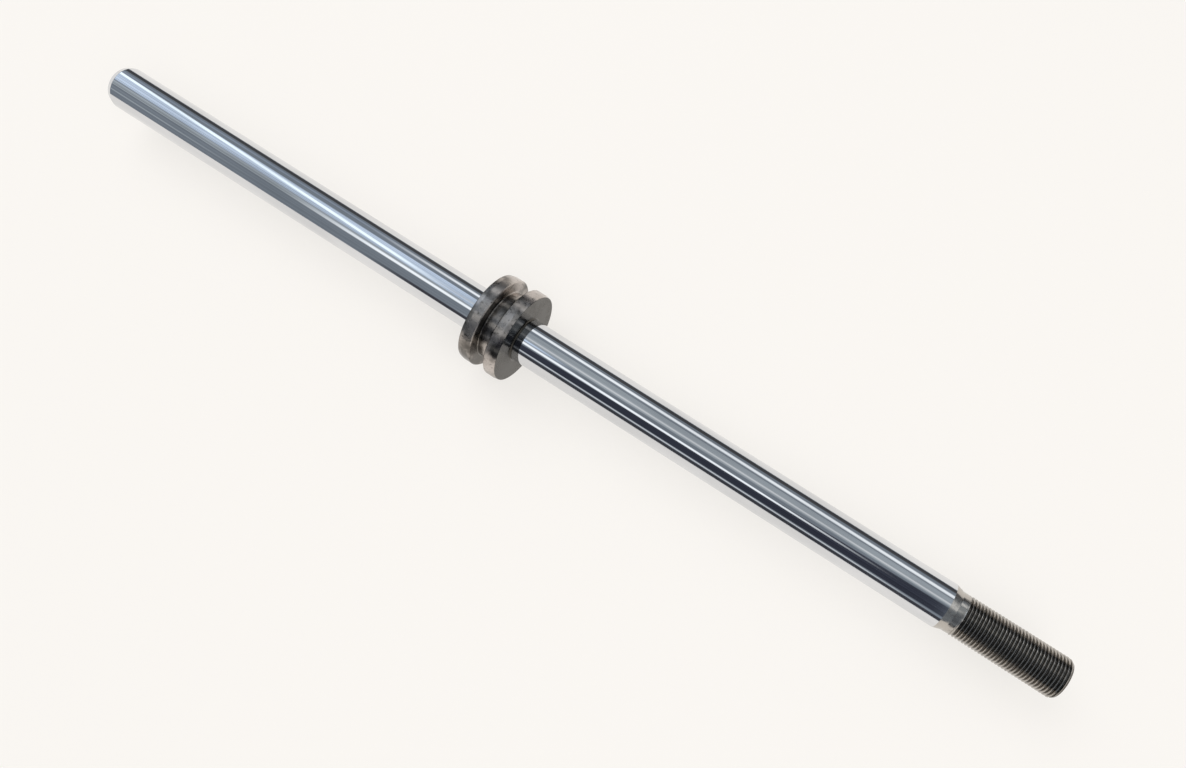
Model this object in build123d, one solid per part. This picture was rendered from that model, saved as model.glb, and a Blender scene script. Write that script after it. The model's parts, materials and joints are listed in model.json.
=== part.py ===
from build123d import *
import math
import os

# Double-ended piston rod of a small steering cylinder, turned from one steel bar.
# A chromed rod carries a piston with one seal groove, and a cone leads down from
# the chrome to a short neck and a fine thread on one end. The other end is plain.
# Millimetres. The axis of the rod is X, with the thread towards +X, and the origin
# lies on that axis in the middle of the piston.

# Chromed rod
rod_diameter = 20.0
plain_reach = 216.0  # middle of the piston to the plain end face
shoulder_reach = 215.5  # middle of the piston to the start of the cone
plain_lead_length = 2.2  # slim lead that lets the plain end into a seal
plain_lead_depth = 0.8

# Piston
piston_diameter = 41.8
piston_width = 18.8
groove_width = 6.8
groove_diameter = 31.2
land_lead_length = 1.9  # slim lead on the outer edge of each land
land_lead_depth = 0.4
groove_edge_break = 0.4
groove_floor_radius = 0.6
piston_root_radius = 3.0  # turned corner between the piston's face and the rod

# Shoulder and threaded end
cone_length = 3.6
neck_diameter = 17.7
neck_length = 2.6
thread_diameter = 18.0  # major diameter of the fine thread, of 1.5 mm pitch
thread_length = 46.5  # neck to the threaded end face
thread_chamfer_length = 1.5
thread_chamfer_depth = 1.0

# Centre drilling in both end faces, which the rod was turned and ground between
centre_mouth_diameter = 6.0
centre_pilot_diameter = 2.5
centre_pilot_depth = 5.5  # end face to the flat bottom of the pilot hole
centre_cone_angle = 60.0

# Radii
rod_r = rod_diameter / 2
piston_r = piston_diameter / 2
neck_r = neck_diameter / 2
thread_r = thread_diameter / 2

# Stations along the axis
neck_x = shoulder_reach + cone_length
thread_x = neck_x + neck_length
end_x = thread_x + thread_length


def half_section(points):
    """Closed face on the XZ plane, from points given as (x, radius)."""
    with BuildSketch(Plane.XZ) as section:
        with BuildLine():
            Polyline(points, close=True)
        make_face()
    return section


def turned(section):
    """Solid that the half-section sweeps out in a full turn about the rod's axis."""
    with BuildPart() as solid:
        add(section.sketch)
        revolve(axis=Axis.X)
    return solid.part


def bare_rod():
    """Rod with its plain end's lead, its cone, its neck and its threaded end."""
    return turned(half_section([
        (-plain_reach, 0),
        (-plain_reach, rod_r - plain_lead_depth),
        (-plain_reach + plain_lead_length, rod_r),
        (shoulder_reach, rod_r),
        (neck_x, neck_r),
        (thread_x, neck_r),
        (thread_x + thread_r - neck_r, thread_r),
        (end_x - thread_chamfer_length, thread_r),
        (end_x, thread_r - thread_chamfer_depth),
        (end_x, 0),
    ]))


def piston_blank():
    """Disc of the piston, with a slim lead on the outer edge of each land."""
    face = piston_width / 2
    lead = face - land_lead_length
    rim = piston_r - land_lead_depth
    return turned(half_section([
        (-face, 0),
        (-face, rim),
        (-lead, piston_r),
        (lead, piston_r),
        (face, rim),
        (face, 0),
    ]))


def seal_groove():
    """Ring that is cut away for the piston's seal, with its floor corners rounded."""
    wall = groove_width / 2
    floor_r = groove_diameter / 2
    mouth = wall + groove_edge_break
    section = half_section([
        (-wall, floor_r),
        (-wall, piston_r - groove_edge_break),
        (-mouth, piston_r),
        (-mouth, piston_r + groove_edge_break),
        (mouth, piston_r + groove_edge_break),
        (mouth, piston_r),
        (wall, piston_r - groove_edge_break),
        (wall, floor_r),
    ])
    with section:
        corners = section.vertices().group_by(Axis.Y)[0]
        fillet(corners, groove_floor_radius)
    return turned(section)


def centre_drilling():
    """Pilot hole and cone of a centre drill, entering along +X from the origin."""
    mouth_r = centre_mouth_diameter / 2
    pilot_r = centre_pilot_diameter / 2
    cone_depth = (mouth_r - pilot_r) / math.tan(math.radians(centre_cone_angle / 2))
    return turned(half_section([
        (0, 0),
        (0, mouth_r),
        (cone_depth, pilot_r),
        (centre_pilot_depth, pilot_r),
        (centre_pilot_depth, 0),
    ]))


def is_piston_root(edge):
    """True for the two circles where the piston's faces meet the rod."""
    on_face = abs(abs(edge.center().X) - piston_width / 2) < 1e-6
    return on_face and abs(edge.radius - rod_r) < 1e-6


def piston_rod():
    with BuildPart() as rod:
        add(bare_rod())
        add(piston_blank())
        add(seal_groove(), mode=Mode.SUBTRACT)
        roots = rod.edges().filter_by(GeomType.CIRCLE).filter_by(is_piston_root)
        fillet(roots, piston_root_radius)
        drilling = centre_drilling()
        add(Pos(-plain_reach, 0, 0) * drilling, mode=Mode.SUBTRACT)
        add(Pos(end_x, 0, 0) * Rot(0, 180, 0) * drilling, mode=Mode.SUBTRACT)
    return rod.part


os.makedirs("parts", exist_ok=True)
export_step(piston_rod(), "parts/piston_rod.step")
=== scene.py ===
import json
import math
import bmesh
import bpy
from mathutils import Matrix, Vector


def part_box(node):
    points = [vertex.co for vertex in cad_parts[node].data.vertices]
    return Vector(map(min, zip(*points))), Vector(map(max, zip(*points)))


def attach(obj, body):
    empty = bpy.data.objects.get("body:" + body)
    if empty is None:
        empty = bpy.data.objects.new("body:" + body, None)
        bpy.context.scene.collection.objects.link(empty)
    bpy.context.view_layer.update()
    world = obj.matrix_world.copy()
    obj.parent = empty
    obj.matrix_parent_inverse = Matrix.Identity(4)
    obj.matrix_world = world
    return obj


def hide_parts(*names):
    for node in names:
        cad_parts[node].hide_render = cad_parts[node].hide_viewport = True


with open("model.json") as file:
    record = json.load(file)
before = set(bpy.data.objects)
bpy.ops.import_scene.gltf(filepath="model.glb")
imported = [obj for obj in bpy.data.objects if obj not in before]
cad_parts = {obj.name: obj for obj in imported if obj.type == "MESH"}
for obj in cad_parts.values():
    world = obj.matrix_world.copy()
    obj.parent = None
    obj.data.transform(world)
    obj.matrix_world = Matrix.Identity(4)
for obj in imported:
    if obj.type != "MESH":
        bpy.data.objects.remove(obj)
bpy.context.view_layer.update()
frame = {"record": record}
mm = 0.001
seamReach, weldReach = 2e-6, 3e-6      # how near points merge at a seam and between pieces, m

# the seats that the record gives say where each turned length starts and ends
seats = {}
for mount in frame["record"]["mounts"]:
    if mount["kind"] == "pin":
        half = mount["dims"]["length_mm"] * mm / 2
        seats[mount["name"]] = {
            "start": mount["pos_m"][0] - half,
            "end": mount["pos_m"][0] + half,
            "radius": mount["dims"]["r_mm"] * mm,
        }
lowCorner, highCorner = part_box("piston_rod")
rodRadius = seats["rod_plain_side"]["radius"]
print("frame loaded, shaft runs from", round(lowCorner.x, 4), "to", round(highCorner.x, 4))


# small helpers for node trees

def addNode(tree, kind, inputs=None, **settings):
    node = tree.nodes.new(kind)
    for name, value in settings.items():
        setattr(node, name, value)
    for name, value in (inputs or {}).items():
        connect(tree, value, node.inputs[name])
    return node


def connect(tree, value, socket):
    if isinstance(value, bpy.types.NodeSocket):
        tree.links.new(value, socket)
    elif isinstance(value, bpy.types.Node):
        tree.links.new(value.outputs[0], socket)
    else:
        socket.default_value = value


def calc(tree, operation, *values):
    node = tree.nodes.new("ShaderNodeMath")
    node.operation = operation
    for index, value in enumerate(values):
        connect(tree, value, node.inputs[index])
    return node.outputs[0]


def rampValue(tree, value, low, high, toLow=0.0, toHigh=1.0, smooth=True):
    node = tree.nodes.new("ShaderNodeMapRange")
    node.interpolation_type = "SMOOTHSTEP" if smooth else "LINEAR"
    for index, given in enumerate((value, low, high, toLow, toHigh)):
        connect(tree, given, node.inputs[index])
    return node.outputs[0]


def newShape(name, inputs):
    tree = bpy.data.node_groups.new(name, "GeometryNodeTree")
    tree.interface.new_socket("Geometry", in_out="INPUT", socket_type="NodeSocketGeometry")
    for label, kind in inputs:
        tree.interface.new_socket(label, in_out="INPUT", socket_type="NodeSocket" + kind)
    tree.interface.new_socket("Geometry", in_out="OUTPUT", socket_type="NodeSocketGeometry")
    return tree, tree.nodes.new("NodeGroupInput"), tree.nodes.new("NodeGroupOutput")


def finishShape(tree, given, output, grid, position):
    # closes the seam, keeps the corners of the turned shape crisp and gives it its finish
    placed = addNode(tree, "GeometryNodeSetPosition", {"Geometry": grid, "Position": position})
    closed = addNode(tree, "GeometryNodeMergeByDistance", {"Geometry": placed, "Distance": seamReach})
    smooth = addNode(tree, "GeometryNodeSetShadeSmooth", {"Geometry": closed})
    bend = tree.nodes.new("GeometryNodeInputMeshEdgeAngle")
    crisp = addNode(
        tree, "GeometryNodeStoreNamedAttribute",
        {"Geometry": smooth, "Name": "sharp_edge",
         "Value": calc(tree, "GREATER_THAN", bend.outputs["Unsigned Angle"], given.outputs["Crisp Above"])},
        data_type="BOOLEAN", domain="EDGE",
    )
    real = addNode(tree, "GeometryNodeRealizeInstances", {"Geometry": crisp})
    done = addNode(tree, "GeometryNodeSetMaterial", {"Geometry": real, "Material": given.outputs["Finish"]})
    tree.links.new(done.outputs[0], output.inputs["Geometry"])


def runShape(name, mesh, tree, values):
    # puts the tree on an object, fills its inputs and keeps the result as a plain mesh
    source = bpy.data.objects.new(name + "Source", mesh)
    bpy.context.scene.collection.objects.link(source)
    modifier = source.modifiers.new("shape", "NODES")
    modifier.node_group = tree
    for item in tree.interface.items_tree:
        if item.in_out == "INPUT" and item.name in values:
            modifier[item.identifier] = values[item.name]
    evaluated = source.evaluated_get(bpy.context.evaluated_depsgraph_get())
    result = bpy.data.meshes.new_from_object(evaluated)
    bpy.data.objects.remove(source)
    result.name = name
    return result


# the lathe: a half section turned about the shaft's axis

def buildLathe():
    tree, given, output = newShape("turnOnLathe", [
        ("Segments", "Int"), ("Crisp Above", "Float"), ("Finish", "Material"),
    ])
    section = given.outputs["Geometry"]
    count = addNode(tree, "GeometryNodeAttributeDomainSize", {"Geometry": section})
    columns = calc(tree, "ADD", given.outputs["Segments"], 1)
    grid = addNode(tree, "GeometryNodeMeshGrid", {
        "Size X": 1.0, "Size Y": 1.0,
        "Vertices X": count.outputs["Point Count"], "Vertices Y": columns,
    })
    index = tree.nodes.new("GeometryNodeInputIndex").outputs[0]
    station = calc(tree, "FLOOR", calc(tree, "DIVIDE", calc(tree, "ADD", index, 0.5), columns))
    column = calc(tree, "SUBTRACT", index, calc(tree, "MULTIPLY", station, columns))
    angle = calc(tree, "MULTIPLY", calc(tree, "DIVIDE", column, given.outputs["Segments"]), math.tau)
    where = tree.nodes.new("GeometryNodeInputPosition")
    sample = addNode(
        tree, "GeometryNodeSampleIndex",
        {"Geometry": section, "Value": where.outputs[0], "Index": station},
        data_type="FLOAT_VECTOR",
    )
    parts = addNode(tree, "ShaderNodeSeparateXYZ", {"Vector": sample.outputs[0]})
    position = addNode(tree, "ShaderNodeCombineXYZ", {
        "X": parts.outputs["X"],
        "Y": calc(tree, "MULTIPLY", parts.outputs["Z"], calc(tree, "SINE", angle)),
        "Z": calc(tree, "MULTIPLY", parts.outputs["Z"], calc(tree, "COSINE", angle)),
    })
    finishShape(tree, given, output, grid.outputs["Mesh"], position.outputs[0])
    return tree


lathe = buildLathe()


def arc(centreX, centreR, radius, fromAngle, toAngle, steps=8):
    # points of a rounding in the half section, angles in degrees from the shaft's axis
    points = []
    for step in range(steps + 1):
        angle = math.radians(fromAngle + (toAngle - fromAngle) * step / steps)
        points.append((centreX + radius * math.cos(angle), centreR + radius * math.sin(angle)))
    return points


def hemmed(points, hem):
    # a pair of extra points near the ends of each long run keeps its shading flat
    made = [points[0]]
    for (x0, r0), (x1, r1) in zip(points, points[1:]):
        length = math.hypot(x1 - x0, r1 - r0)
        if length > 4 * hem:
            share = hem / length
            made.append((x0 + (x1 - x0) * share, r0 + (r1 - r0) * share))
            made.append((x1 - (x1 - x0) * share, r1 - (r1 - r0) * share))
        made.append((x1, r1))
    return made


def sectionMesh(name, points):
    mesh = bpy.data.meshes.new(name)
    edges = [(index, index + 1) for index in range(len(points) - 1)]
    mesh.from_pydata([(x, 0, r) for x, r in points], edges, [])
    return mesh


def turn(name, points, segments, finish, hem=0.15 * mm, crispAbove=25):
    section = sectionMesh(name + "Section", hemmed(points, hem))
    return runShape(name, section, lathe, {
        "Segments": segments, "Crisp Above": math.radians(crispAbove), "Finish": finish,
    })


def addPiece(mesh):
    piece = bpy.data.objects.new(mesh.name, mesh)
    bpy.context.scene.collection.objects.link(piece)
    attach(piece, "root")
    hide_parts("piston_rod")


def centreDrilling(endX, inward, shape):
    # the drilling's mouth, cone and pilot, from the end face to the axis
    mouth = shape["mouth"] * mm / 2
    pilot = shape["pilot"] * mm / 2
    coneDepth = (mouth - pilot) / math.tan(math.radians(shape["coneAngle"] / 2))
    bottom = shape["depth"] * mm
    tip = bottom + pilot / math.tan(math.radians(shape["tipAngle"] / 2))
    steps = [(0, mouth), (coneDepth, pilot), (bottom, pilot), (tip, 0)]
    return [(endX + inward * depth, radius) for depth, radius in steps]


# materials

def newFinish(name):
    material = bpy.data.materials.new(name)
    material.use_nodes = True
    tree = material.node_tree
    shader = tree.nodes["Principled BSDF"]
    shader.inputs["Metallic"].default_value = 1.0
    place = tree.nodes.new("ShaderNodeTexCoord").outputs["Object"]
    return material, tree, shader, place


def alongAndRadius(tree, place):
    parts = addNode(tree, "ShaderNodeSeparateXYZ", {"Vector": place})
    squared = calc(
        tree, "ADD",
        calc(tree, "POWER", parts.outputs["Y"], 2.0),
        calc(tree, "POWER", parts.outputs["Z"], 2.0),
    )
    return parts.outputs["X"], calc(tree, "SQRT", squared)


def noise(tree, place, scale, detail=4.0, stretch=(1, 1, 1), roughness=0.55):
    mapping = addNode(tree, "ShaderNodeMapping", {"Vector": place, "Scale": stretch})
    return addNode(tree, "ShaderNodeTexNoise", {
        "Vector": mapping, "Scale": scale, "Detail": detail, "Roughness": roughness,
    }).outputs["Fac"]


def mixColour(tree, factor, first, second):
    node = tree.nodes.new("ShaderNodeMix")
    node.data_type = "RGBA"
    connect(tree, factor, node.inputs[0])
    connect(tree, first, node.inputs[6])
    connect(tree, second, node.inputs[7])
    return node.outputs[2]


def addBump(tree, shader, height, strength, distance):
    bump = addNode(tree, "ShaderNodeBump", {
        "Strength": strength, "Distance": distance, "Height": height,
    })
    connect(tree, bump.outputs[0], shader.inputs["Normal"])


def chromeFinish(settings):
    material, tree, shader, place = newFinish("hardChrome")
    smears = noise(tree, place, settings["smearScale"], stretch=(0.3, 1, 1))
    hazes = noise(tree, place, settings["hazeScale"], stretch=(0.5, 1, 1))
    colour = mixColour(tree, rampValue(tree, smears, 0.35, 0.7), settings["bright"], settings["dull"])
    connect(tree, colour, shader.inputs["Base Color"])
    rough = calc(
        tree, "ADD",
        rampValue(tree, hazes, 0.35, 0.75, settings["polish"], settings["haze"]),
        rampValue(tree, smears, 0.5, 0.8, 0.0, 0.03),
    )
    connect(tree, rough, shader.inputs["Roughness"])
    # fine grinding lines round the rod over the slow waviness that a ground bar keeps
    lines = noise(tree, place, settings["lineScale"], 2.0, stretch=(1, 0.02, 0.02))
    waves = noise(tree, place, settings["waveScale"], 2.0, stretch=(0.6, 1, 1))
    height = calc(tree, "ADD", calc(tree, "MULTIPLY", waves, settings["waviness"]), lines)
    addBump(tree, shader, height, 0.12, 0.01 * mm)
    return material


def turningMarks(tree, along, radius, feed):
    # the tool's marks run round the axis: along the lands by station, on the faces by radius
    radialShare = 0.93      # just off 1, so that the marks don't cancel on a 45 degree edge
    travel = calc(tree, "ADD", along, calc(tree, "MULTIPLY", radius, radialShare))
    return calc(tree, "SINE", calc(tree, "MULTIPLY", travel, math.tau / (feed * mm)))


def turnedFinish(settings):
    material, tree, shader, place = newFinish("turnedSteel")
    along, radius = alongAndRadius(tree, place)
    stains = noise(tree, place, settings["stainScale"], 6.0)
    patches = noise(tree, place, settings["patchScale"], 3.0)
    specks = noise(tree, place, settings["speckScale"], 4.0)
    shade = mixColour(tree, rampValue(tree, stains, 0.38, 0.62), settings["dark"], settings["light"])
    shade = mixColour(tree, rampValue(tree, patches, 0.5, 0.64, 0.0, 0.7), shade, settings["bare"])
    shade = mixColour(tree, rampValue(tree, specks, 0.56, 0.72, 0.0, 0.8), shade, settings["scale"])
    # painted shade: the piston's side faces are darkened to stand in for the shade they lie in
    reach = calc(tree, "ABSOLUTE", along)
    paintedFlankShade = rampValue(tree, reach, (settings["flankAt"] - 0.15) * mm, settings["flankAt"] * mm)
    shade = mixColour(tree, paintedFlankShade, shade, settings["flank"])
    connect(tree, shade, shader.inputs["Base Color"])
    rough = rampValue(tree, stains, 0.35, 0.7, settings["smooth"], settings["rough"])
    connect(tree, rough, shader.inputs["Roughness"])
    marks = turningMarks(tree, along, radius, settings["feed"])
    height = calc(tree, "ADD", calc(tree, "MULTIPLY", marks, 0.4), specks)
    addBump(tree, shader, height, 0.4, 0.02 * mm)
    return material


def threadFinish(settings):
    material, tree, shader, place = newFinish("threadSteel")
    radius = alongAndRadius(tree, place)[1]
    stains = noise(tree, place, settings["stainScale"], 5.0)
    # painted shade: the thread's roots are darkened by radius, and its crests are lighter as wear
    crestWearRootShade = rampValue(tree, radius, settings["rootRadius"] * mm, settings["crestRadius"] * mm)
    shade = mixColour(tree, crestWearRootShade, settings["root"], settings["crest"])
    shade = mixColour(tree, rampValue(tree, stains, 0.5, 0.7, 0.0, 0.6), shade, settings["stain"])
    connect(tree, shade, shader.inputs["Base Color"])
    rough = rampValue(tree, stains, 0.3, 0.7, settings["smooth"], settings["rough"])
    connect(tree, rough, shader.inputs["Roughness"])
    grain = noise(tree, place, settings["grainScale"], 3.0)
    addBump(tree, shader, grain, 0.12, 0.02 * mm)
    return material


chrome = chromeFinish({
    "bright": (0.74, 0.75, 0.77, 1), "dull": (0.65, 0.66, 0.68, 1),
    "polish": 0.035, "haze": 0.085,
    "smearScale": 70, "hazeScale": 16, "lineScale": 1100, "waveScale": 34,
    "waviness": 5.0,        # against 1 for the grinding lines
})
turnedSteel = turnedFinish({
    "dark": (0.115, 0.105, 0.094, 1), "light": (0.42, 0.38, 0.35, 1),
    "bare": (0.64, 0.585, 0.55, 1), "scale": (0.06, 0.055, 0.047, 1),
    # the flank colour is painted shade for the piston's side faces
    "flank": (0.062, 0.057, 0.050, 1), "flankAt": 9.35,     # mm from the piston's middle
    "smooth": 0.18, "rough": 0.33,
    "stainScale": 110, "patchScale": 45, "speckScale": 700,
    "feed": 0.35,           # one turning mark to the next, mm
})
threadSteel = threadFinish({
    "root": (0.13, 0.118, 0.105, 1), "crest": (0.50, 0.47, 0.435, 1), "stain": (0.20, 0.185, 0.17, 1),
    "rootRadius": 8.25, "crestRadius": 8.85,
    "stainScale": 240, "grainScale": 900,
    "smooth": 0.16, "rough": 0.30,
})
print("materials built")


# the chromed rod, on both sides of the piston

rodShape = {
    "leadDepth": 0.8,       # how far the plain end's lead goes below the chrome, mm
    "leadLength": 2.2,
    "hiddenLap": 6.0,       # how far the chrome runs on inside the piston, mm
    "segments": 256,
}
drilling = {"mouth": 6.0, "pilot": 2.5, "depth": 5.5, "coneAngle": 60, "tipAngle": 118}

plainEnd = lowCorner.x
leadRadius = rodRadius - rodShape["leadDepth"] * mm
lap = rodShape["hiddenLap"] * mm
plainSection = list(reversed(centreDrilling(plainEnd, 1, drilling)))
plainSection += [
    (plainEnd, leadRadius),
    (plainEnd + rodShape["leadLength"] * mm, rodRadius),
    (seats["rod_plain_side"]["end"] + lap, rodRadius),
    (seats["rod_plain_side"]["end"] + lap, 0),
]
addPiece(turn("rodPlainSide", plainSection, rodShape["segments"], chrome))

threadSideSection = [
    (seats["rod_thread_side"]["start"] - lap, 0),
    (seats["rod_thread_side"]["start"] - lap, rodRadius),
    (seats["rod_thread_side"]["end"], rodRadius),
    (seats["rod_thread_side"]["end"], 0),
]
addPiece(turn("rodThreadSide", threadSideSection, rodShape["segments"], chrome))
print("rod turned on both sides of the piston")


# the piston with its seal groove

pistonShape = {
    "width": 18.8,
    "leadLength": 1.9, "leadDepth": 0.4,
    "grooveWidth": 6.8, "grooveDiameter": 31.2,
    "grooveEdgeBreak": 0.4, "grooveFloorRadius": 0.6,
    "rootRadius": 0.8,
    "segments": 256,
}


def pistonSection(shape):
    # half of the section, from the groove's middle out to the root, then mirrored
    rim = seats["piston"]["radius"]
    face = shape["width"] * mm / 2
    wall = shape["grooveWidth"] * mm / 2
    floor = shape["grooveDiameter"] * mm / 2
    floorRadius = shape["grooveFloorRadius"] * mm
    edge = shape["grooveEdgeBreak"] * mm
    root = shape["rootRadius"] * mm
    half = [(0, floor)]
    half += arc(wall - floorRadius, floor + floorRadius, floorRadius, -90, 0, 5)
    half += [
        (wall, rim - edge),
        (wall + edge, rim),
        (face - shape["leadLength"] * mm, rim),
        (face, rim - shape["leadDepth"] * mm),
    ]
    half += arc(face + root, rodRadius + root, root, 180, 270, 8)
    half.append((face + root, 0))
    mirrored = [(-x, r) for x, r in reversed(half)]
    return mirrored + half[1:]


addPiece(turn("piston", pistonSection(pistonShape), pistonShape["segments"], turnedSteel))
print("piston and seal groove turned")


# the shouldered end: cone, neck, thread and end face

threadShape = {
    "pitch": 1.5,
    "neckDiameter": 17.7, "neckLength": 2.6,
    "runOut": 1.2,             # how far the thread takes to reach its full depth, mm
    "chamferLength": 1.5, "chamferDepth": 1.0,
    "depth": 0.6134,           # of the pitch
    "rootShare": 0.2, "crestShare": 0.875,      # where the flank starts and ends, 0 root and 1 crest
    "crispAbove": 40,
    "samplesPerPitch": 16,
    "segments": 112,
}


def buildThread(shape):
    tree, given, output = newShape("cutThread", [
        ("Segments", "Int"), ("Samples", "Int"), ("Turns", "Int"), ("Pitch", "Float"),
        ("Start", "Float"), ("Finish At", "Float"), ("Crest Radius", "Float"), ("Neck Radius", "Float"),
        ("Depth", "Float"), ("Run Out", "Float"), ("Chamfer Start", "Float"), ("End Radius", "Float"),
        ("Crisp Above", "Float"), ("Finish", "Material"),
    ])
    take = given.outputs
    columns = calc(tree, "ADD", take["Segments"], 1)
    pitches = calc(tree, "ADD", take["Turns"], 2)
    rows = calc(tree, "ADD", calc(tree, "MULTIPLY", take["Samples"], pitches), 1)
    grid = addNode(tree, "GeometryNodeMeshGrid", {
        "Size X": 1.0, "Size Y": 1.0, "Vertices X": rows, "Vertices Y": columns,
    })
    index = tree.nodes.new("GeometryNodeInputIndex").outputs[0]
    row = calc(tree, "FLOOR", calc(tree, "DIVIDE", calc(tree, "ADD", index, 0.5), columns))
    column = calc(tree, "SUBTRACT", index, calc(tree, "MULTIPLY", row, columns))
    turnShare = calc(tree, "DIVIDE", column, take["Segments"])
    # the rows follow the helix, and those past an end are held at that end
    pitchesAlong = calc(tree, "DIVIDE", row, take["Samples"])
    helix = calc(tree, "SUBTRACT", calc(tree, "ADD", pitchesAlong, turnShare), 1)
    free = calc(tree, "ADD", take["Start"], calc(tree, "MULTIPLY", helix, take["Pitch"]))
    station = calc(tree, "MINIMUM", calc(tree, "MAXIMUM", free, take["Start"]), take["Finish At"])
    travelled = calc(tree, "SUBTRACT", station, take["Start"])
    phase = calc(tree, "FRACT", calc(tree, "ADD", calc(
        tree, "SUBTRACT", calc(tree, "DIVIDE", travelled, take["Pitch"]), turnShare), 2.0001))
    # 0 in the middle of the root and 1 on the crest
    height = calc(tree, "SUBTRACT", 1, calc(tree, "ABSOLUTE", calc(
        tree, "SUBTRACT", calc(tree, "MULTIPLY", phase, 2), 1)))
    rise = rampValue(tree, height, shape["rootShare"], shape["crestShare"], smooth=False)
    grown = rampValue(tree, travelled, 0.0, take["Run Out"])
    crest = rampValue(tree, travelled, 0.0, take["Run Out"], take["Neck Radius"], take["Crest Radius"])
    depth = calc(tree, "MULTIPLY", take["Depth"], grown)
    cut = calc(tree, "MULTIPLY", depth, calc(tree, "SUBTRACT", 1, rise))
    full = calc(tree, "SUBTRACT", crest, cut)
    bevel = rampValue(
        tree, station, take["Chamfer Start"], take["Finish At"], take["Crest Radius"], take["End Radius"],
        smooth=False,
    )
    radius = calc(tree, "MINIMUM", full, bevel)
    angle = calc(tree, "MULTIPLY", turnShare, math.tau)
    position = addNode(tree, "ShaderNodeCombineXYZ", {
        "X": station,
        "Y": calc(tree, "MULTIPLY", calc(tree, "MULTIPLY", radius, calc(tree, "SINE", angle)), -1),
        "Z": calc(tree, "MULTIPLY", radius, calc(tree, "COSINE", angle)),
    })
    finishShape(tree, given, output, grid.outputs["Mesh"], position.outputs[0])
    return tree


def joinMeshes(name, meshes):
    # welds the turned ends to the thread, so that the piece is one closed skin
    joined = bmesh.new()
    for mesh in meshes:
        joined.from_mesh(mesh)
    bmesh.ops.remove_doubles(joined, verts=joined.verts, dist=weldReach)
    bmesh.ops.recalc_face_normals(joined, faces=joined.faces)
    made = bpy.data.meshes.new(name)
    joined.to_mesh(made)
    joined.free()
    for face in made.polygons:
        face.material_index = 0
    made.materials.append(threadSteel)
    return made


def makeThreadedEnd(shape):
    neckStart = seats["thread"]["start"]
    threadStart = neckStart + shape["neckLength"] * mm
    coneStart = seats["rod_thread_side"]["end"]
    endX = highCorner.x
    crestRadius = seats["thread"]["radius"]
    neckRadius = shape["neckDiameter"] * mm / 2
    endRadius = crestRadius - shape["chamferDepth"] * mm
    turns = math.ceil((endX - threadStart) / (shape["pitch"] * mm))
    thread = runShape("thread", bpy.data.meshes.new("threadSource"), buildThread(shape), {
        "Segments": shape["segments"], "Samples": shape["samplesPerPitch"], "Turns": turns,
        "Pitch": shape["pitch"] * mm, "Start": threadStart, "Finish At": endX,
        "Crest Radius": crestRadius, "Neck Radius": neckRadius,
        "Depth": shape["depth"] * shape["pitch"] * mm, "Run Out": shape["runOut"] * mm,
        "Chamfer Start": endX - shape["chamferLength"] * mm, "End Radius": endRadius,
        "Crisp Above": math.radians(shape["crispAbove"]), "Finish": threadSteel,
    })
    shoulder = turn("shoulder", [
        (coneStart, 0), (coneStart, rodRadius), (neckStart, neckRadius), (threadStart, neckRadius),
    ], shape["segments"], threadSteel)
    endFace = turn(
        "endFace", [(endX, endRadius)] + centreDrilling(endX, -1, drilling), shape["segments"], threadSteel,
    )
    return joinMeshes("threadedEnd", [thread, shoulder, endFace])


addPiece(makeThreadedEnd(threadShape))
print("cone, neck and thread cut")


# floor, light and reflections

studio = {
    "floor": (0.94, 0.915, 0.88, 1),
    "floorGlow": 0.72,        # share of the floor's colour that doesn't wait for the lamps
    "worldColour": (1.0, 0.985, 0.965, 1), "worldStrength": 0.55,
    "backdropGlow": 0.9,
    "floorReach": 12.0,
    "lampPower": 10.5, "lampSize": 1.4,
    "lamps": {"softboxLeft": (-0.7, 0.5, 1.3), "softboxRight": (0.9, -0.5, 1.3)},
}


def seenDirectly(tree):
    # 1 for what the camera, metal or glass sees, 0 for the light that falls on things
    ray = tree.nodes.new("ShaderNodeLightPath").outputs
    mirrored = calc(tree, "MAXIMUM", ray["Is Glossy Ray"], ray["Is Transmission Ray"])
    return calc(tree, "MAXIMUM", ray["Is Camera Ray"], mirrored)


def makeFloor():
    material = bpy.data.materials.new("paleFloor")
    material.use_nodes = True
    tree = material.node_tree
    shader = tree.nodes["Principled BSDF"]
    shader.inputs["Base Color"].default_value = studio["floor"]
    shader.inputs["Roughness"].default_value = 0.9
    shader.inputs["Specular IOR Level"].default_value = 0.1
    glow = addNode(tree, "ShaderNodeEmission", {"Color": studio["floor"], "Strength": 1.0})
    share = calc(tree, "MULTIPLY", seenDirectly(tree), studio["floorGlow"])
    mixed = addNode(tree, "ShaderNodeMixShader", {"Fac": share})
    tree.links.new(shader.outputs[0], mixed.inputs[1])
    tree.links.new(glow.outputs[0], mixed.inputs[2])
    tree.links.new(mixed.outputs[0], tree.nodes["Material Output"].inputs["Surface"])
    mesh = bpy.data.meshes.new("floor")
    reach = studio["floorReach"]
    corners = [(-reach, -reach), (reach, -reach), (reach, reach), (-reach, reach)]
    mesh.from_pydata([(x, y, lowCorner.z) for x, y in corners], [], [(0, 1, 2, 3)])
    mesh.materials.append(material)
    floor = bpy.data.objects.new("floor", mesh)
    bpy.context.scene.collection.objects.link(floor)


def addLamp(name, location, size, power):
    lamp = bpy.data.lights.new(name, "AREA")
    lamp.shape = "SQUARE"
    lamp.size = size
    lamp.energy = power
    lampObject = bpy.data.objects.new(name, lamp)
    lampObject.location = location
    lampObject.rotation_euler = (-Vector(location)).to_track_quat("-Z", "Y").to_euler()
    lampObject.visible_glossy = False
    bpy.context.scene.collection.objects.link(lampObject)


makeFloor()
for name, location in studio["lamps"].items():
    addLamp(name, location, studio["lampSize"], studio["lampPower"])


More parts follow.
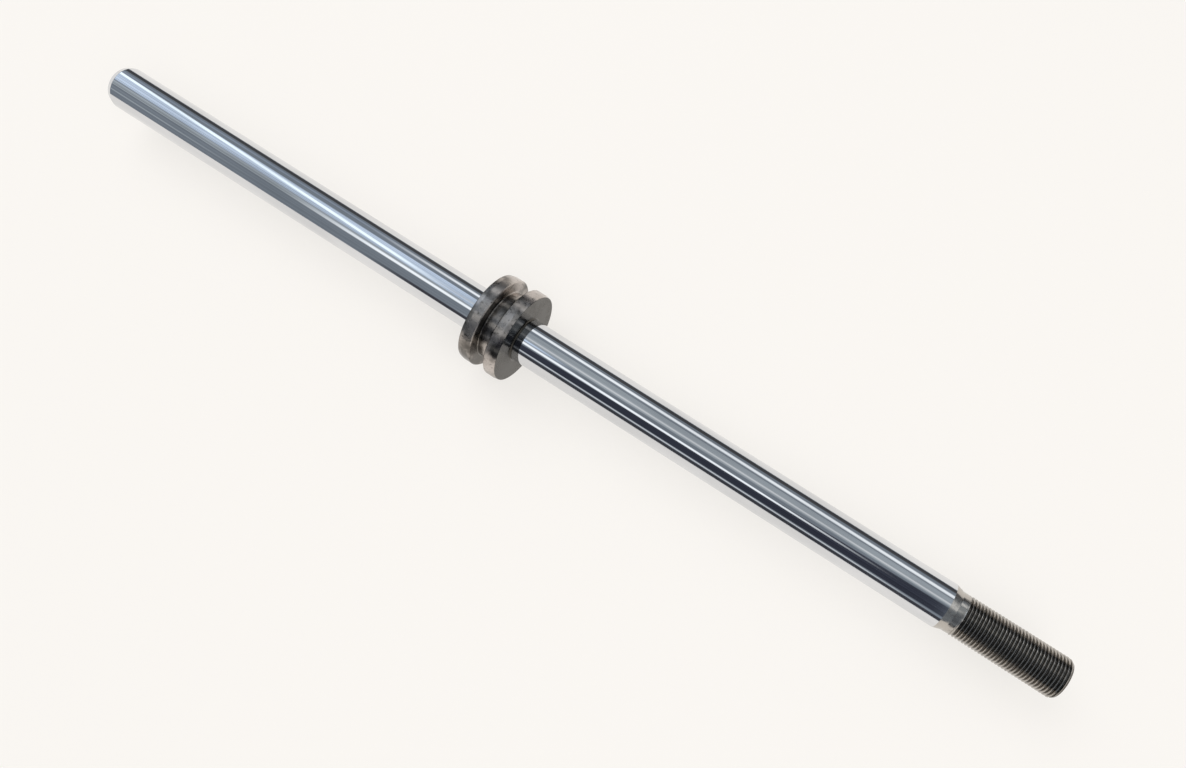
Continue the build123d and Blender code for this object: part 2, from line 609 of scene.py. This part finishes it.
def makeBackdrop():
    world = bpy.data.worlds.new("studio")
    world.use_nodes = True
    tree = world.node_tree
    backdrop = tree.nodes["Background"]
    backdrop.inputs["Color"].default_value = studio["worldColour"]
    strength = rampValue(tree, seenDirectly(tree), 0, 1, studio["worldStrength"], studio["backdropGlow"])
    connect(tree, strength, backdrop.inputs["Strength"])
    bpy.context.scene.world = world


makeBackdrop()

# Cards that only reflections see, all above the floor. The metal shows the floor itself, and the
# backdrop past the cards' ends. Each is a strip of a tunnel round the shaft: where it starts and
# ends along the shaft (m), and its lowest and highest angle there, in degrees from straight up,
# positive towards +Y. A later card hangs in front of the earlier ones.
blueTint, paleTint, whiteTint = (0.80, 0.94, 1.14), (0.90, 1.0, 1.08), (0.96, 1.0, 1.03)
cards = {
    "room": {"from": (-3.0, -91, 91), "to": (3.0, -91, 91), "glow": 0.25,
             "tint": (0.84, 0.96, 1.10), "soft": 0, "streaks": 0.35},
    "darkWall": {"from": (-3.0, 66, 91), "to": (3.0, 66, 91), "glow": 0.065,
                 "tint": (1.0, 1.0, 1.05), "soft": 0.25, "streaks": 0.4},
    "sidePanel": {"from": (-2.6, 44, 66), "to": (-0.45, 48, 62), "glow": 0.38,
                  "tint": blueTint, "soft": 0.2, "streaks": 0.35},
    "mainPanel": {"from": (-2.0, 0, 48), "to": (-0.2, -22, 30), "glow": 0.78,
                  "tint": blueTint, "soft": 0.12, "streaks": 0.6},
    "mainCore": {"from": (-1.3, 40, 60), "to": (-0.42, -16, 6), "glow": 1.4,
                 "tint": (0.86, 0.97, 1.06), "soft": 0.35, "streaks": 0.3},
    "frontPanel": {"from": (-2.0, -36, -8), "to": (-0.3, -36, -8), "glow": 0.42,
                   "tint": paleTint, "soft": 0.2, "streaks": 0.4},
    "plateau": {"from": (-0.42, -12, 34), "to": (0.9, -2, 36), "glow": 0.42,
                "tint": paleTint, "soft": 0.12, "streaks": 0.3},
    "upperStrip": {"from": (-0.62, 44, 62), "to": (0.8, 32, 54), "glow": 1.15,
                   "tint": whiteTint, "soft": 0.34, "streaks": 0.15},
    "middleStrip": {"from": (-0.5, -4, 10), "to": (0.6, 2, 14), "glow": 0.72,
                    "tint": whiteTint, "soft": 0.35, "streaks": 0.2},
    "navyWall": {"from": (-0.38, -66, -42), "to": (0.45, -66, -4), "glow": 0.045,
                 "tint": (0.85, 0.95, 1.35), "soft": 0.12, "streaks": 0.5},
    "lowerStrip": {"from": (-0.75, -38, -16), "to": (0.34, -31, -21), "glow": 1.35,
                   "tint": whiteTint, "soft": 0.4, "streaks": 0.2},
    "underWall": {"from": (-0.6, -92, -72), "to": (0.6, -92, -72), "glow": 0.055,
                  "tint": (0.95, 0.97, 1.15), "soft": 0.25, "streaks": 0.4},
    "thinLine": {"from": (-0.42, -72, -64), "to": (0.42, -74, -66), "glow": 0.8,
                 "tint": whiteTint, "soft": 0.4, "streaks": 0.2},
    "endPanel": {"from": (0.95, -8, 52), "to": (1.8, -8, 52), "glow": 1.0,
                 "tint": whiteTint, "soft": 0.2, "streaks": 0.3},
    "lowLine": {"from": (-2.0, -62, -48), "to": (-0.7, -66, -56), "glow": 0.45,
                "tint": paleTint, "soft": 0.4, "streaks": 0.3},
}


def cardFinish(name, card, seed):
    material = bpy.data.materials.new(name)
    material.use_nodes = True
    tree = material.node_tree
    tree.nodes.clear()
    output = tree.nodes.new("ShaderNodeOutputMaterial")
    # thin streaks along the shaft, as slats, shelves and window bars make them
    angleAndStation = addNode(tree, "ShaderNodeUVMap", uv_map="tunnel")
    slats = addNode(tree, "ShaderNodeTexNoise", {
        "Vector": angleAndStation, "W": seed, "Scale": 1.0, "Detail": 3.0, "Roughness": 0.6,
    }, noise_dimensions="4D")
    glow = rampValue(
        tree, slats, 0.3, 0.7, card["glow"] * (1 - card["streaks"]), card["glow"] * (1 + card["streaks"]),
        smooth=False,
    )
    light = addNode(tree, "ShaderNodeEmission", {"Color": (*card["tint"], 1), "Strength": glow})
    if not card["soft"]:
        tree.links.new(light.outputs[0], output.inputs["Surface"])
        return material
    onCard = addNode(tree, "ShaderNodeUVMap", uv_map="card")
    flat = addNode(tree, "ShaderNodeSeparateXYZ", {"Vector": onCard})
    shares = []
    for axis, rim in (("X", card["soft"] * 0.5), ("Y", card["soft"])):
        inside = calc(tree, "SUBTRACT", 0.5, calc(
            tree, "ABSOLUTE", calc(tree, "SUBTRACT", flat.outputs[axis], 0.5)))
        shares.append(rampValue(tree, inside, 0.0, rim))
    clear = tree.nodes.new("ShaderNodeBsdfTransparent")
    mixed = addNode(tree, "ShaderNodeMixShader", {"Fac": calc(tree, "MULTIPLY", *shares)})
    tree.links.new(clear.outputs[0], mixed.inputs[1])
    tree.links.new(light.outputs[0], mixed.inputs[2])
    tree.links.new(mixed.outputs[0], output.inputs["Surface"])
    return material


def hangCard(name, card, radius, seed):
    lengthSteps, roundSteps = 12, 36
    streakPitch, streakReach = 3.2, 1.6      # degrees round the tunnel and metres along it
    startX, startLow, startHigh = card["from"]
    endX, endLow, endHigh = card["to"]
    mesh = bpy.data.meshes.new(name)
    points, cardSpots, tunnelSpots = [], [], []
    for i in range(lengthSteps + 1):
        share = i / lengthSteps
        x = startX + (endX - startX) * share
        low = startLow + (endLow - startLow) * share
        high = startHigh + (endHigh - startHigh) * share
        for j in range(roundSteps + 1):
            across = j / roundSteps
            degrees = low + (high - low) * across
            angle = math.radians(degrees)
            points.append((x, radius * math.sin(angle), radius * math.cos(angle)))
            cardSpots.append((share, across))
            tunnelSpots.append((degrees / streakPitch, x / streakReach))
    faces = []
    for i in range(lengthSteps):
        for j in range(roundSteps):
            corner = i * (roundSteps + 1) + j
            faces.append((corner, corner + 1, corner + roundSteps + 2, corner + roundSteps + 1))
    mesh.from_pydata(points, [], faces)
    for layerName, spots in (("card", cardSpots), ("tunnel", tunnelSpots)):
        layer = mesh.uv_layers.new(name=layerName)
        for loop in mesh.loops:
            layer.data[loop.index].uv = spots[loop.vertex_index]
    mesh.materials.append(cardFinish(name, card, seed))
    hung = bpy.data.objects.new(name, mesh)
    bpy.context.scene.collection.objects.link(hung)
    hung.visible_camera = False
    hung.visible_diffuse = False
    hung.visible_transmission = False
    hung.visible_shadow = False


tunnelRadius, cardStep = 1.0, 0.01
for order, (name, card) in enumerate(cards.items()):
    hangCard(name, card, tunnelRadius - cardStep * order, order)
print("floor, lamps and reflection cards set")


# camera

viewpoint = {
    "azimuth": 33.04, "elevation": 76.31,      # degrees round the shaft and above the floor
    "aim": (86.33, 3.5, 0), "distance": 377.69,   # mm
    "lens": 27.32, "shift": (-0.0720, 0.0365),
}


def setCamera(settings):
    camera = bpy.data.cameras.new("camera")
    camera.lens = settings["lens"]
    camera.shift_x, camera.shift_y = settings["shift"]
    camera.clip_start = 0.01
    around, up = math.radians(settings["azimuth"]), math.radians(settings["elevation"])
    back = Vector((math.sin(around) * math.cos(up), -math.cos(around) * math.cos(up), math.sin(up)))
    cameraObject = bpy.data.objects.new("camera", camera)
    cameraObject.location = Vector(settings["aim"]) * mm + back * settings["distance"] * mm
    cameraObject.rotation_euler = (-back).to_track_quat("-Z", "Y").to_euler()
    bpy.context.scene.collection.objects.link(cameraObject)
    bpy.context.scene.camera = cameraObject


setCamera(viewpoint)
bpy.context.scene.view_settings.view_transform = "Standard"
